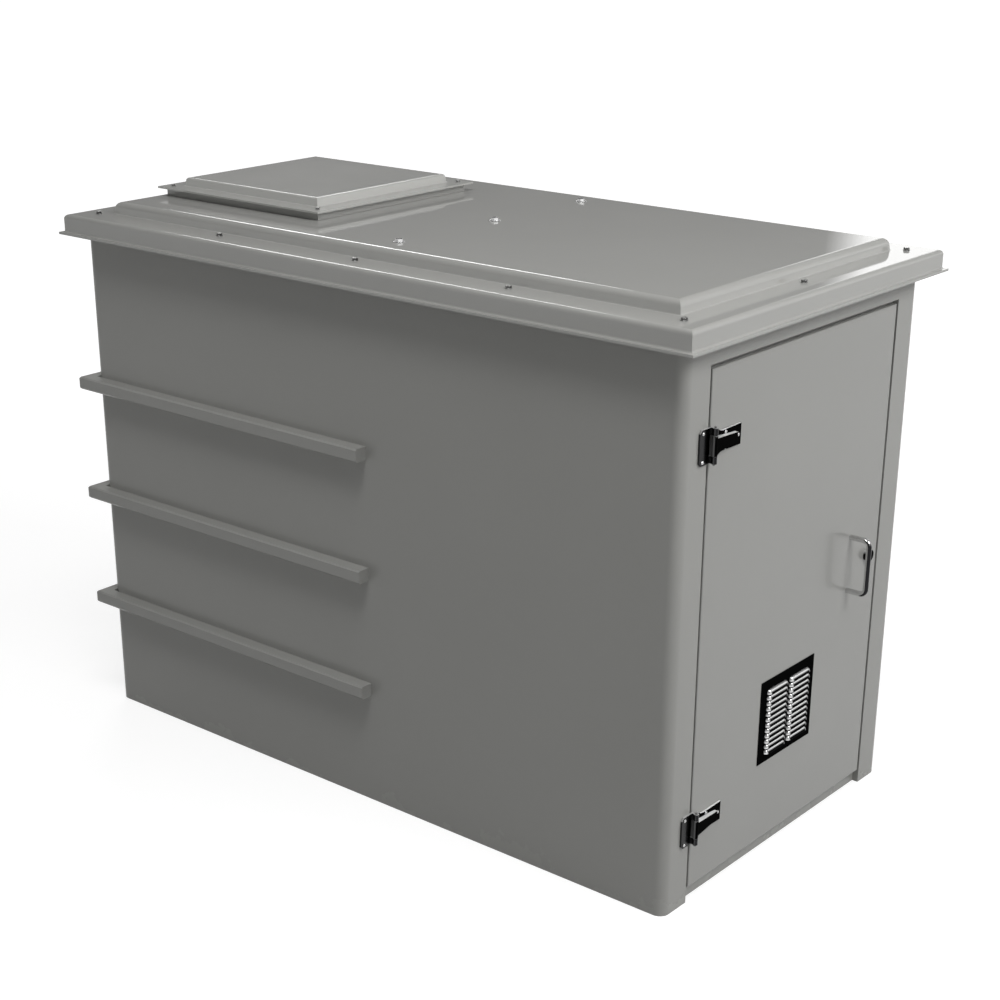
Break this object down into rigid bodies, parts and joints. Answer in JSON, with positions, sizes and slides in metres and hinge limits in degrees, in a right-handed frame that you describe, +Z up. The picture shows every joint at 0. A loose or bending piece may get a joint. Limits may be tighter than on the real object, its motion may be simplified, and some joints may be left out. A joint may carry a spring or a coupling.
{
  "type": "equipment kiosk",
  "caption": "Grey glass-fibre equipment kiosk with a hinged end door, louvre vent, pull handle and lock, stiffener bands, and a moulded roof with a raised middle and a hatch.",
  "frame": {"origin": "centre of the anchor-hole pattern in the base, on the ground", "axes": "+X along the length towards the door end, +Y across towards the lock side of the door, +Z up"},
  "size_m": [2.114, 1.144, 1.54],
  "materials": {
    "grp_grey": "glossy gelcoat over glass fibre",
    "black_metal": "polished black",
    "polished_steel": "polished bar",
    "dark_lock_metal": "dark satin",
    "plated_steel": "zinc plated",
    "seal_rubber": "matte"
  },
  "bodies": {
    "cabinet": {"body_shell": "grp_grey", "stiffener_band_upper": "grp_grey", "stiffener_band_middle": "grp_grey", "stiffener_band_lower": "grp_grey", "roof_moulding": "grp_grey", "roof_seal": "seal_rubber", "roof_cross_beam": "plated_steel", "roof_beam_bolts": "plated_steel", "hatch_seal": "seal_rubber", "hatch_lid": "grp_grey", "door_seal": "seal_rubber", "upper_hinge_post_leaf": "black_metal", "lower_hinge_post_leaf": "black_metal", "upper_hinge_pin": "plated_steel", "lower_hinge_pin": "plated_steel"},
    "door": {"door_panel": "grp_grey", "upper_hinge_strap": "black_metal", "lower_hinge_strap": "black_metal", "louvre_vent": "black_metal", "pull_handle": "polished_steel", "lock_body": "dark_lock_metal", "lock_nut": "plated_steel"},
    "lock": {"lock_plug": "plated_steel", "lock_cam": "plated_steel"}
  },
  "joints": [
    {"name": "door_hinge", "type": "hinge", "parent": "cabinet", "child": "door", "pos_m": [1.015, -0.4135, 0.6878], "axis": [0, 0, -1], "range_deg": [0, 120]},
    {"name": "lock_turn", "type": "hinge", "parent": "door", "child": "lock", "pos_m": [1, 0.36, 0.6895], "axis": [1, 0, 0], "range_deg": [0, 90]}
  ]
}
